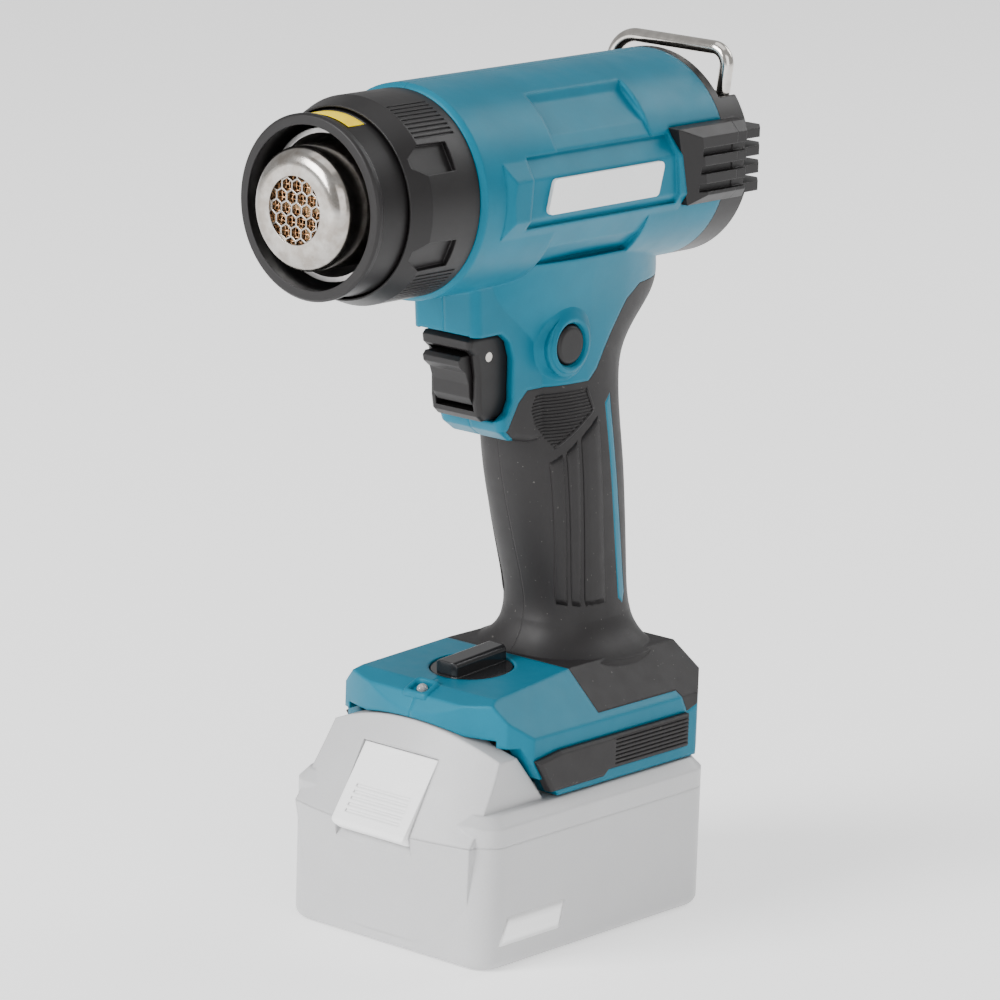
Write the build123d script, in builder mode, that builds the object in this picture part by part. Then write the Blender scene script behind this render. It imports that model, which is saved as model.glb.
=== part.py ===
"""Cordless heat gun with a slide-on battery, as an assembly of separate pieces.

Frame: millimetres. The nozzle points to -Y, +X is the tool's left side, +Z is up.
The origin is the middle of the battery's resting face.
"""
import os
from math import cos, hypot, pi, radians, sin, sqrt

from build123d import *

os.makedirs("parts", exist_ok=True)


# ---------------------------------------------------------------- driving dimensions
AXIS_Z = 212.4              # height of the nozzle axis above the resting face
BARREL_R = 29.6             # outside of the motor barrel
BARREL_FRONT = -51.5
BARREL_REAR = 51.1
BARREL_BORE_R = 25.0
SKIN = 1.8                  # thickness of the elastomer over the handle
WALL = 2.4                  # thickness of the moulded shells
GAP = 0.3                   # clearance between pieces that move past each other

BASE_HALF = 34.5            # half width of the battery foot
BASE_BOTTOM = 44.4
BASE_ROOF = 62.0            # ceiling of the channel that takes the battery
CHANNEL_HALF = 27.3

NOZZLE_R = 16.75
NOZZLE_FACE = -93.6
GRILLE_R = 9.2
CUP_R = 25.1                # rim of the sliding protector
CUP_RIM = -88.2
COLLAR_R = 28.3             # lock collar around the protector

BATTERY_HALF = 37.5
BATTERY_FRONT = -50.7
BATTERY_REAR = 46.5
BATTERY_SEAM = 35.4

SCREW_R = 1.5
SCREW_HEAD_R = 3.0
SCREW_SPOTS = [(-38.5, 235.8), (33, 235.8), (-38.5, 189.0), (42, 180.5),
               (28.5, 141), (31, 101), (-31, 68.2), (42, 68)]

NOZZLE_AXIS = Axis((0, 0, AXIS_Z), (0, 1, 0))


# ---------------------------------------------------------------- helpers
def save(piece, label):
    """Name a finished piece and write it as a STEP file."""
    piece.part.label = label
    export_step(piece.part, f"parts/{label}.step")


def station(y):
    """Plane square to the nozzle axis at y; extruding from it runs towards the nozzle."""
    return Plane(origin=(0, y, AXIS_Z), x_dir=(1, 0, 0), z_dir=(0, -1, 0))


def outline(plane, points):
    """Closed straight-sided sketch on a plane."""
    with BuildSketch(plane) as sketch:
        with BuildLine():
            Polyline(points, close=True)
        make_face()
    return sketch.sketch


def turned(points, mode=Mode.ADD):
    """Revolve a closed profile of (y, radius) corners about the nozzle axis."""
    profile = outline(Plane.YZ, [(y, AXIS_Z + r) for y, r in points])
    revolve(profile, axis=NOZZLE_AXIS, mode=mode)


def slab(points, low_x, high_x, mode=Mode.ADD):
    """Extrude a closed (y, z) outline between two values of X."""
    extrude(outline(Plane.YZ.offset(low_x), points), amount=high_x - low_x, mode=mode)


def block(low, high, mode=Mode.ADD):
    """Rectangular block between two opposite corners."""
    size = [abs(b - a) for a, b in zip(low, high)]
    middle = [(a + b) / 2 for a, b in zip(low, high)]
    with Locations(tuple(middle)):
        Box(*size, mode=mode)


def disc(centre, direction, radius, length, mode=Mode.ADD):
    """Round disc or rod that starts at centre and runs along direction."""
    with BuildSketch(Plane(origin=centre, z_dir=direction)) as circle:
        Circle(radius)
    extrude(circle.sketch, amount=length, mode=mode)


def rod(start, end, radius, mode=Mode.ADD):
    """Round rod from one point to another."""
    along = Vector(*end) - Vector(*start)
    disc(start, along.normalized(), radius, along.length, mode)


def oval_section(z, front, rear, half, inset=0.0, power=2.4, steps=20):
    """Superellipse outline on the plane at height z, from y=front to y=rear."""
    reach_x = half - inset
    reach_y = (rear - front) / 2 - inset
    middle = (rear + front) / 2
    points = []
    for i in range(steps):
        c = cos(2 * pi * i / steps)
        s = sin(2 * pi * i / steps)
        x = reach_x * abs(c) ** (2 / power) * (1 if c >= 0 else -1)
        y = reach_y * abs(s) ** (2 / power) * (1 if s >= 0 else -1)
        points.append((x, middle + y))
    with BuildSketch(Plane.XY.offset(z)) as section:
        with BuildLine():
            Spline(points, periodic=True)
        make_face()
    return section.sketch


# ---------------------------------------------------------------- outer form of the gun
# Handle and neck sections: height, front, rear, half width.
HANDLE_SECTIONS = [
    (84, 4.6, 42.6, 15.8), (92, 4.6, 40.8, 15.5), (103, 1.2, 40.1, 15.5),
    (115, -2.8, 39.2, 15.6), (127, -6.3, 38.0, 15.6), (139, -8.8, 36.4, 15.2),
    (151, -11.0, 35.6, 14.6), (160, -13.5, 37.2, 14.4), (167, -18.0, 42.5, 14.6),
    (174, -26.0, 49.3, 15.4), (182, -32.5, 50.8, 17.4), (191, -38.0, 50.8, 20.4),
]
FOOT_SECTIONS = [
    (84, 4.6, 42.6, 15.8), (80, 3.4, 43.8, 17.4), (77, 1.4, 45.2, 20.2), (74.5, -1.0, 46.8, 25.0),
]
FOOT_ROOT = 6.0             # how far the foot's last section runs down into the base
# Cross-section of the barrel's side: flats on a rounded barrel, in (x, height over axis).
SIDE_FLAT_X = 31.0
SIDE_CORNERS = [(15.0, sqrt(BARREL_R ** 2 - 15.0 ** 2)), (16.1, 22.5), (24.5, 15.3), (SIDE_FLAT_X, 5.5)]
PANEL_FRONT = -42.5
PANEL_REAR = 32.5
# Side view of the bead around the trigger, and of the opening that it frames.
SURROUND_OUTLINE = [(-34, 188), (-32.5, 171.6), (-21.5, 146.3), (-20.2, 143.2), (-16, 140.3), (-8, 138.6),
                    (-2, 138.6), (8, 150), (8, 188)]
TRIGGER_OPENING = [(-60, 171.4), (-22, 171.4), (-18.3, 168.5), (-16.6, 164), (-16.4, 152),
                   (-18, 148.6), (-21.5, 146.3), (-60, 146.3)]
SURROUND_HALF = 11.8        # half width of the bead around the trigger
TRIGGER_HALF = 9.0          # half width of the trigger
# Side vents: side view, where they stand in the barrel wall and how far they rise off it.
VENT_OUTLINE = [(28, 225.1), (BARREL_REAR, 225.1), (BARREL_REAR, 203.3), (33.1, 203.3)]
VENT_CREST_OUTLINE = [(35.4, 222.4), (BARREL_REAR, 222.4), (BARREL_REAR, 206.0), (38.6, 206.0)]
VENT_ROOT = 25.4
VENT_FACE = 30.6
VENT_CREST = 33.3
# Side view of the region that the elastomer covers.
GRIP_ZONE = [(-30, 136), (-12, 138.2), (-18.5, 143.3), (-14, 151), (-10.5, 154), (12.5, 154), (16, 157),
             (27.5, 175.5), (33, 179.2), (70, 180), (70, 60), (44, 60), (37.4, 57.9), (34, 64.2), (0, 64.2),
             (-1.5, 76), (-30, 80)]
# Side view of the strip of housing that shows through the elastomer at the rear of the handle.
SIDE_WINDOW = [(20.2, 146.6), (22.8, 149.0), (25.4, 130), (31.8, 90), (30.6, 87.0), (28.2, 89)]
LOCK_BUTTON_SPOT = (2.2, 165.8)     # (y, z) of the lock-on button's axis
LOCK_BUTTON_R = 5.7
DIAL_TILT = 4.0             # degrees that the dial leans forward
DIAL_SPOT = (0, -16.5, 74.0)
DIAL_POCKET_R = 12.0


def barrel_section(inset):
    """Flat-sided cross-section of the middle of the barrel, shrunk by inset."""
    radius = BARREL_R - inset
    right = []
    for x, h in SIDE_CORNERS:
        scale = 1 - inset / hypot(x, h)
        right.append((x * scale, h * scale))
    right += [(x, -h) for x, h in reversed(right)]
    left = [(-x, h) for x, h in reversed(right)]
    with BuildSketch(station(PANEL_REAR)) as section:
        with BuildLine():
            Polyline(right)
            ThreePointArc(right[-1], (0, -radius), left[0])
            Polyline(left)
            ThreePointArc(left[-1], (0, radius), right[0])
        make_face()
    return section.sketch


def barrel_body():
    """Barrel with its flat side panels, chamfered at the front."""
    length = PANEL_REAR - PANEL_FRONT
    with BuildPart() as body:
        extrude(barrel_section(0), amount=length)
        turned([(PANEL_FRONT - 1, 0), (PANEL_FRONT - 1, BARREL_R - 0.4), (PANEL_FRONT + 3.5, 32),
                (PANEL_REAR, 32), (PANEL_REAR, 0)], mode=Mode.INTERSECT)
        turned([(BARREL_FRONT, 0), (BARREL_FRONT, BARREL_R - 1.2), (BARREL_FRONT + 1.2, BARREL_R),
                (-20, BARREL_R), (-20, 0)])
        turned([(20, 0), (20, BARREL_R), (BARREL_REAR, BARREL_R), (BARREL_REAR, 0)])
    return body.part


def badge_recess(low_x, high_x):
    """Shallow recess that follows the side flats, about a millimetre deep."""
    with BuildPart() as recess:
        slab([(-34, 204.4), (-32.6, 223.6), (27.4, 223.6), (29.4, 204.4)], low_x, high_x)
        extrude(barrel_section(1.1), amount=PANEL_REAR - PANEL_FRONT, mode=Mode.SUBTRACT)
    return recess.part


def handle_body(inset):
    """Neck, handle and flared foot as one smooth volume, moved inwards by inset."""
    with BuildPart() as body:
        loft([oval_section(*section, inset) for section in HANDLE_SECTIONS])
        loft([oval_section(*section, inset) for section in FOOT_SECTIONS])
        extrude(oval_section(*FOOT_SECTIONS[-1], inset), amount=-FOOT_ROOT)
    return body.part


def base_body(inset):
    """Battery foot: plan outline, side view and front view cut from one another."""
    half = BASE_HALF - inset
    nose = -42 + inset
    corner = -35.5 + inset
    tail = 50.5 - inset
    top = 75.2 - inset
    edge = 62.5 - inset / 2
    flat = 22.5 - inset / 2
    with BuildPart() as body:
        with BuildSketch(Plane.XY.offset(BASE_BOTTOM)):
            with BuildLine():
                front_arc = ThreePointArc((-30 + inset, corner), (0, nose), (30 - inset, corner))
                Polyline([front_arc @ 1, (half, -29), (half, 42), (28, tail), (-28, tail), (-half, 42),
                          (-half, -29), front_arc @ 0])
            make_face()
        extrude(amount=40)
        slab([(-60, 40), (-60, 66), (nose, 66), (nose + 2.2, 70.6 - inset), (-34.5 + inset, top - 2.4),
              (0, top), (45 - inset, top), (tail - 1.5, 66), (tail, 60), (tail, 40)],
             -50, 50, mode=Mode.INTERSECT)
        front_view = outline(Plane.XZ.offset(-60), [(-half, 40), (-half, edge), (-flat, top), (flat, top),
                                                    (half, edge), (half, 40)])
        extrude(front_view, amount=120, mode=Mode.INTERSECT)
    return body.part


def surround_body(inset):
    """Rounded bead around the trigger, part of the housing's neck."""
    with BuildPart() as body:
        slab(SURROUND_OUTLINE, inset - SURROUND_HALF, SURROUND_HALF - inset)
        fillet(body.faces().sort_by(Axis.X)[-1].edges(), 2.4)
        fillet(body.faces().sort_by(Axis.X)[0].edges(), 2.4)
    return body.part


def gun_form(inset):
    """The whole outer form of the gun, moved inwards by inset."""
    with BuildPart() as form:
        add(handle_body(inset))
        add(base_body(inset))
    return form.part


# ---------------------------------------------------------------- elastomer grip
barrel = barrel_body()
outer_form = gun_form(0)
under_skin = gun_form(SKIN)
mid_wall = gun_form(SKIN + WALL / 2)

# Everything outside the rigid core within the zone that the elastomer covers.
with BuildPart() as grip_zone:
    slab(GRIP_ZONE, -50, 50)
    block((-60, 46, 40), (60, 90, 60), mode=Mode.SUBTRACT)
    for side in (-1, 1):
        slab(SIDE_WINDOW, side * 8, side * 50, mode=Mode.SUBTRACT)
    add(under_skin, mode=Mode.SUBTRACT)
    add(surround_body(SKIN), mode=Mode.SUBTRACT)

with BuildPart() as grip_whole:
    add(outer_form)
    add(surround_body(0))
    add(grip_zone.part, mode=Mode.INTERSECT)
    slab(TRIGGER_OPENING, -20, 20, mode=Mode.SUBTRACT)

for label, keep in (("grip_left", Keep.TOP), ("grip_right", Keep.BOTTOM)):
    with BuildPart() as grip_half:
        add(grip_whole)
        for y, z in SCREW_SPOTS:
            disc((-8, y, z), (-1, 0, 0), SCREW_HEAD_R + 0.3, 40, mode=Mode.SUBTRACT)
        split(bisect_by=Plane.YZ, keep=keep)
    save(grip_half, label)


# ---------------------------------------------------------------- housing shells
with BuildPart() as foot_room:
    add(base_body(SKIN + WALL))
    block((-60, -60, BASE_ROOF + WALL), (60, 60, 90), mode=Mode.INTERSECT)

with BuildPart() as cavity:
    turned([(-49, 0), (-49, BARREL_BORE_R), (60, BARREL_BORE_R), (60, 0)])
    turned([(-70, 0), (-70, 21.2), (-40, 21.2), (-40, 0)])
    add(handle_body(SKIN + WALL))
    add(foot_room.part)
    block((-TRIGGER_HALF - GAP, -60, 146.2), (TRIGGER_HALF + GAP, 1, 171.7))

with BuildPart() as battery_channel:
    block((-CHANNEL_HALF, -60, 40), (CHANNEL_HALF, 46, BASE_ROOF))
    for side in (-1, 1):
        block((side * 28.6 - 3.4, -60, 47.2), (side * 28.6 + 3.4, 46, 50.2), mode=Mode.SUBTRACT)
    with BuildSketch(Plane.XZ.offset(31.0)) as arch:
        with BuildLine():
            crown = ThreePointArc((-30.5, 57.5), (0, 64.2), (30.5, 57.5))
            Polyline([crown @ 1, (30.5, 40), (-30.5, 40), crown @ 0])
        make_face()
    extrude(arch.sketch, amount=30)
    slab([(-20, 40), (-32, 60), (-60, 60), (-60, 40)], -50, 50)
    slab([(-20, 40), (-17.5, 43), (-22, 50.5), (-60, 50.5), (-60, 40)], -50, 50)

with BuildPart() as barrel_bosses:
    for y, z in SCREW_SPOTS[:3]:
        disc((-20, y, z), (1, 0, 0), 3.9, 40)
    turned([(-50, 0), (-50, BARREL_R - 2), (50, BARREL_R - 2), (50, 0)], mode=Mode.INTERSECT)

with BuildPart() as inner_bosses:
    for y, z in SCREW_SPOTS[3:]:
        disc((-20, y, z), (1, 0, 0), 3.9, 40)
    add(mid_wall, mode=Mode.INTERSECT)

with BuildPart() as side_vent_pocket:
    for side in (-1, 1):
        pocket = [(y + 5 if y == BARREL_REAR else y, z) for y, z in VENT_OUTLINE]
        slab(pocket, side * VENT_ROOT, side * 40)

DIAL_UP = (0, -sin(radians(DIAL_TILT)), cos(radians(DIAL_TILT)))
DIAL_PLANE = Plane(origin=DIAL_SPOT, x_dir=(1, 0, 0), z_dir=DIAL_UP)
LAMP_SPOT = (0, -36.33, 69.7)
LAMP_UP = (0, -0.383, 0.924)
BUMPER_OUTLINE = [(-29.0, 56.2), (-19, 57.6), (37, 57.6), (37, 48), (2, 48), (0, 46.4), (-22.5, 46.4)]

BUMPER_SEAT = 1.4           # depth of the seats that the side bumpers sit in

# Pocket and stem hole of the dial, seat of the lamp and shallow seats of the rubber bumpers.
with BuildPart() as foot_details:
    with BuildSketch(DIAL_PLANE.offset(-3.0)):
        Circle(DIAL_POCKET_R)
    extrude(amount=12)
    with BuildSketch(DIAL_PLANE.offset(-8.0)):
        Circle(2.8)
    extrude(amount=8)
    disc(LAMP_SPOT, LAMP_UP, 1.7, 6)
    disc((0, -37.0, 71.3), LAMP_UP, 3.2, 6)
    disc(LAMP_SPOT, (0, 0.383, -0.924), 1.2, 8)
    block((-26.6, 49.2, 46.5), (26.6, 60, 59.7))
    for side in (-1, 1):
        slab(BUMPER_OUTLINE, side * (BASE_HALF - BUMPER_SEAT), side * 50)

with BuildPart() as housing_whole:
    add(barrel)
    add(outer_form)
    add(surround_body(0))
    turned([(-60, 0), (-60, 22.8), (-50, 22.8), (-50, 0)])
    disc((13.0, *LOCK_BUTTON_SPOT), (1, 0, 0), 9.0, 2.9)
    add(badge_recess(20, 40), mode=Mode.SUBTRACT)
    add(badge_recess(-40, -20), mode=Mode.SUBTRACT)
    slab(TRIGGER_OPENING, -20, 20, mode=Mode.SUBTRACT)
    add(cavity.part, mode=Mode.SUBTRACT)
    add(barrel_bosses.part)
    add(inner_bosses.part)
    add(battery_channel.part, mode=Mode.SUBTRACT)
    add(foot_details.part, mode=Mode.SUBTRACT)
    add(side_vent_pocket.part, mode=Mode.SUBTRACT)
    add(grip_zone.part, mode=Mode.SUBTRACT)

for label, keep in (("housing_left", Keep.TOP), ("housing_right", Keep.BOTTOM)):
    with BuildPart() as housing_half:
        add(housing_whole)
        split(bisect_by=Plane.YZ, keep=keep)
        for y, z in SCREW_SPOTS:
            if keep == Keep.TOP:
                disc((0, y, z), (1, 0, 0), SCREW_R, 9.5, mode=Mode.SUBTRACT)
            else:
                disc((0, y, z), (-1, 0, 0), SCREW_R + 0.2, 10, mode=Mode.SUBTRACT)
                disc((-8, y, z), (-1, 0, 0), SCREW_HEAD_R + 0.3, 40, mode=Mode.SUBTRACT)
        if keep == Keep.TOP:
            disc((0, *LOCK_BUTTON_SPOT), (1, 0, 0), LOCK_BUTTON_R + GAP, 40, mode=Mode.SUBTRACT)
    save(housing_half, label)


# ---------------------------------------------------------------- trims on the housing
def bumper(side):
    """Ribbed rubber pad along the side of the battery foot."""
    with BuildPart() as pad:
        near = BASE_HALF - BUMPER_SEAT
        far = BASE_HALF + 1.9
        slab(BUMPER_OUTLINE, side * near, side * far)
        chamfer(pad.faces().sort_by(Axis.X)[-1 if side > 0 else 0].edges(), 0.8)
        for i in range(7):
            z = 49.3 + 1.15 * i
            block((side * (far - 0.5), 4, z),
                  (side * (far + 1), 38, z + 0.5), mode=Mode.SUBTRACT)
    return pad


bumper_left = bumper(1)
bumper_right = bumper(-1)
save(bumper_left, "bumper_left")
save(bumper_right, "bumper_right")

with BuildPart() as heel_bumper:
    with BuildSketch(Plane.XY.offset(46.6)):
        with BuildLine():
            Polyline([(-26.5, 49.2), (-26.5, 51.6), (-23.5, 54), (23.5, 54), (26.5, 51.6), (26.5, 49.2)],
                     close=True)
        make_face()
    extrude(amount=13)
    fillet(heel_bumper.faces().sort_by(Axis.Y)[-1].edges(), 1.2)
save(heel_bumper, "heel_bumper")

GROOVE_PITCH = 5.05
GROOVES = [AXIS_Z + 0.7 + GROOVE_PITCH * i for i in (-1, 0, 1)]


def vent_insert(side):
    """Black side vent with three horizontal grooves."""
    with BuildPart() as insert:
        slab(VENT_OUTLINE, side * VENT_ROOT, side * VENT_FACE)
        loft([outline(Plane.YZ.offset(side * VENT_FACE), VENT_OUTLINE),
              outline(Plane.YZ.offset(side * VENT_CREST), VENT_CREST_OUTLINE)])
        for z in GROOVES:
            block((side * 31.2, 36, z - 1.15), (side * 36, 60, z + 1.15),
                  mode=Mode.SUBTRACT)
    return insert


vent_insert_left = vent_insert(1)
vent_insert_right = vent_insert(-1)
save(vent_insert_left, "vent_insert_left")
save(vent_insert_right, "vent_insert_right")


def badge(side):
    """Plain white oblong plate in the side recess, with slanted ends."""
    with BuildPart() as plate:
        shape = [(-27, 207.6), (-24.4, 217.2), (22.4, 217.2), (19.8, 207.6)]
        slab(shape, side * 29.93, side * 31)
        fillet(plate.edges().filter_by(Axis.X), 1.6)
    return plate


badge_left = badge(1)
badge_right = badge(-1)
save(badge_left, "badge_left")
save(badge_right, "badge_right")


# ---------------------------------------------------------------- rear cover, intake and hook
COVER_REAR = 64.0
FIN_REAR = 68.5
COVER_TOP = 230.4
HOOK_Y = 60.0
HOOK_PIVOT_Z = 227.0
HOOK_TOP_Z = 243.2
WIRE_R = 2.0
# The side vents carry on over the front of the cover.
COVER_VENT_OUTLINE = [(BARREL_REAR, 225.1), (57, 225.1), (57, 203.3), (BARREL_REAR, 203.3)]
COVER_CREST_OUTLINE = [(BARREL_REAR, 222.4), (55, 222.4), (55, 206.0), (BARREL_REAR, 206.0)]

with BuildPart() as cover_hollow:
    turned([(BARREL_REAR - 1, 0), (BARREL_REAR - 1, 25.0), (COVER_REAR - 3, 22.5), (COVER_REAR - 3, 0)])
    block((-40, 53.0, 223.6), (40, 80, 260), mode=Mode.SUBTRACT)

with BuildPart() as rear_cover:
    turned([(BARREL_REAR, 0), (BARREL_REAR, BARREL_R), (COVER_REAR - 2.5, BARREL_R),
            (COVER_REAR, BARREL_R - 2.5), (COVER_REAR, 0)])
    block((-40, BARREL_REAR + 3, COVER_TOP), (40, 80, 260), mode=Mode.SUBTRACT)
    block((-12, BARREL_REAR + 3, COVER_TOP - 3), (12, 80, 260), mode=Mode.SUBTRACT)
    for side in (-1, 1):
        slab(COVER_VENT_OUTLINE, side * 20, side * VENT_FACE)
        loft([outline(Plane.YZ.offset(side * VENT_FACE), COVER_VENT_OUTLINE),
              outline(Plane.YZ.offset(side * VENT_CREST), COVER_CREST_OUTLINE)])
    for i in range(4):
        z = AXIS_Z + 0.7 + GROOVE_PITCH * (i - 1.5)
        with BuildSketch(Plane.XY.offset(z - 1.35)) as fin:
            with BuildLine():
                Polyline([(-30.8, 53), (-30.8, 64), (-27, FIN_REAR), (27, FIN_REAR), (30.8, 64), (30.8, 53)],
                         close=True)
            make_face()
        extrude(fin.sketch, amount=2.7)
    for z in GROOVES:
        block((-40, 57.4, z - 1.17), (40, 80, z + 1.17), mode=Mode.SUBTRACT)
        for side in (-1, 1):
            block((side * 31.4, 50, z - 1.17), (side * 36, 60, z + 1.17),
                  mode=Mode.SUBTRACT)
    add(cover_hollow.part, mode=Mode.SUBTRACT)
    for x in (-13, 0, 13):
        block((x - 1, COVER_REAR - 3, 203), (x + 1, COVER_REAR, 223))
    for side in (-1, 1):
        block((side * 19.6 - 2.5, HOOK_Y - 2.6, HOOK_PIVOT_Z - 2.6), (side * 19.6 + 2.5, 80, 250),
              mode=Mode.SUBTRACT)
        disc((side * 13.0, HOOK_Y, HOOK_PIVOT_Z), (side, 0, 0), WIRE_R + 0.1, 8, mode=Mode.SUBTRACT)
save(rear_cover, "rear_cover")

with BuildPart() as hanging_hook:
    with BuildLine(Plane(origin=(0, HOOK_Y, 0), x_dir=(1, 0, 0), z_dir=(0, -1, 0))) as wire_path:
        FilletPolyline((13.6, HOOK_PIVOT_Z), (19.6, HOOK_PIVOT_Z), (21.6, HOOK_TOP_Z), (-21.6, HOOK_TOP_Z),
                       (-19.6, HOOK_PIVOT_Z), (-13.6, HOOK_PIVOT_Z), radius=[2.6, 4.5, 9.0, 2.6])
    with BuildSketch(Plane(origin=(13.6, HOOK_Y, HOOK_PIVOT_Z), z_dir=(1, 0, 0))) as wire_end:
        Circle(WIRE_R)
    sweep(wire_end.sketch, path=wire_path.line)
save(hanging_hook, "hanging_hook")

with BuildPart() as intake_screen:
    turned([(57.0, 0), (57.0, 22.6), (57.8, 22.6), (57.8, 0)])
    with Locations(Plane(origin=(0, 60, AXIS_Z), x_dir=(1, 0, 0), z_dir=(0, -1, 0))):
        with GridLocations(3.2, 3.2, 11, 11):
            Box(2.2, 2.2, 8, mode=Mode.SUBTRACT)
    block((-40, 50, 223.4), (40, 80, 260), mode=Mode.SUBTRACT)
save(intake_screen, "intake_screen")


# ---------------------------------------------------------------- nozzle and heater
NOZZLE_WALL = 0.8
LIP_R = 12.0                # edge of the nozzle's flat front lip
SHOULDER_R = NOZZLE_R - LIP_R
NOZZLE_BACK = -34
NOZZLE_STEP = -49.6         # a pushed-on accessory stops here, ahead of the flange
NOZZLE_ROOT_R = NOZZLE_R - 0.2

with BuildPart() as nozzle:
    with BuildSketch(Plane.YZ):
        with BuildLine():
            lip_z = AXIS_Z + LIP_R
            side_z = AXIS_Z + NOZZLE_R
            bend_y = NOZZLE_FACE + SHOULDER_R
            inside_y = NOZZLE_FACE + NOZZLE_WALL
            inside_z = side_z - NOZZLE_WALL
            Polyline((inside_y, AXIS_Z + GRILLE_R), (NOZZLE_FACE, AXIS_Z + GRILLE_R), (NOZZLE_FACE, lip_z))
            RadiusArc((NOZZLE_FACE, lip_z), (bend_y, side_z), SHOULDER_R)
            Polyline((bend_y, side_z), (NOZZLE_STEP, side_z), (NOZZLE_STEP, AXIS_Z + NOZZLE_ROOT_R),
                     (NOZZLE_BACK, AXIS_Z + NOZZLE_ROOT_R), (NOZZLE_BACK, inside_z), (bend_y, inside_z))
            RadiusArc((bend_y, inside_z), (inside_y, lip_z), NOZZLE_WALL - SHOULDER_R)
            Line((inside_y, lip_z), (inside_y, AXIS_Z + GRILLE_R))
        make_face()
    revolve(axis=NOZZLE_AXIS)
save(nozzle, "nozzle")

CELL_PITCH = 3.6
with BuildPart() as nozzle_grille:
    with BuildSketch(station(NOZZLE_FACE + 1.8)):
        Circle(11.8)
    extrude(amount=1.0)
    with BuildSketch(station(NOZZLE_FACE + 3)) as cells:
        for row in range(-3, 4):
            count = 7 - abs(row)
            for i in range(count):
                with Locations(((i - (count - 1) / 2) * CELL_PITCH, row * CELL_PITCH * cos(pi / 6))):
                    RegularPolygon(1.8, 6, rotation=30)
        Circle(GRILLE_R + 0.2, mode=Mode.INTERSECT)
    extrude(cells.sketch, amount=4, mode=Mode.SUBTRACT)
save(nozzle_grille, "nozzle_grille")

with BuildPart() as insulation_sleeve:
    turned([(-87.5, 14.6), (-87.5, 15.9), (-36, 15.9), (-36, 14.6)])
save(insulation_sleeve, "insulation_sleeve")

with BuildPart() as heater_core:
    for low, high in (((-11.3, -88, AXIS_Z - 0.7), (11.3, -42, AXIS_Z + 0.7)),
                      ((-0.7, -88, AXIS_Z - 11.3), (0.7, -42, AXIS_Z + 11.3))):
        block(low, high)
    turned([(-45, 0), (-45, 14.5), (-42, 14.5), (-42, 0)])
    for angle in (45, 135, 225, 315):
        hole_x = 9.0 * cos(radians(angle))
        hole_z = AXIS_Z + 9.0 * sin(radians(angle))
        disc((hole_x, -40, hole_z), (0, -1, 0), 3.4, 8, mode=Mode.SUBTRACT)
save(heater_core, "heater_core")

COIL_TURNS = 11
with BuildPart() as heating_coil:
    for i in range(COIL_TURNS):
        with Locations(Plane(origin=(0, -86.5 + 3.9 * i, AXIS_Z), z_dir=(0, 1, 0))):
            Torus(12.1, 0.75)
save(heating_coil, "heating_coil")

with BuildPart() as nozzle_flange:
    turned([(-49, NOZZLE_ROOT_R), (-49, BARREL_BORE_R), (-45, BARREL_BORE_R), (-45, 19.3),
            (NOZZLE_BACK, 19.3), (NOZZLE_BACK, NOZZLE_ROOT_R)])
save(nozzle_flange, "nozzle_flange")

with BuildPart() as heat_shield:
    turned([(-81, 19.2), (-81, 20.6), (-80.2, 20.6), (-80.2, 19.9), (-50, 19.9), (-50, 21.1), (-49, 21.1),
            (-49, 19.2)])
save(heat_shield, "heat_shield")

with BuildPart() as heater_duct:
    turned([(-34, 20.2), (-34, 21.6), (-14, 24.6), (0, 24.6), (0, 23.4), (-14, 23.4)])
save(heater_duct, "heater_duct")

with BuildPart() as temperature_sensor:
    with Locations((0, -30, AXIS_Z + 13)):
        Sphere(1.6)
    rod((0, -30, AXIS_Z + 13), (0, -14, AXIS_Z + 20), 0.7)
save(temperature_sensor, "temperature_sensor")


# ---------------------------------------------------------------- sliding protector and lock collar
with BuildPart() as guard_cup:
    turned([(CUP_RIM, 22.1), (CUP_RIM, 24.5), (CUP_RIM + 0.6, CUP_R), (CUP_RIM + 1.8, CUP_R),
            (CUP_RIM + 3, 24.2), (-76, 25.0), (-57, 25.3), (-57, 23.1), (-80, 23.0)])
    with BuildSketch(station(-77.6)) as label_seat:
        Circle(26)
        Circle(24.45, mode=Mode.SUBTRACT)
        with BuildLine():
            Polyline((0, 0), (-13.5, 30), (13.5, 30), close=True)
        make_face(mode=Mode.INTERSECT)
    extrude(label_seat.sketch, amount=6.6, mode=Mode.SUBTRACT)
save(guard_cup, "guard_cup")

with BuildPart() as caution_patch:
    turned([(-83.9, 24.45), (-83.9, 24.7), (-78.0, 24.7), (-78.0, 24.45)])
    with BuildSketch(station(-70)) as wedge:
        with BuildLine():
            Polyline((0, 0), (-12.6, 29), (12.6, 29), close=True)
        make_face()
    extrude(wedge.sketch, amount=20, mode=Mode.INTERSECT)
save(caution_patch, "caution_patch")

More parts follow.
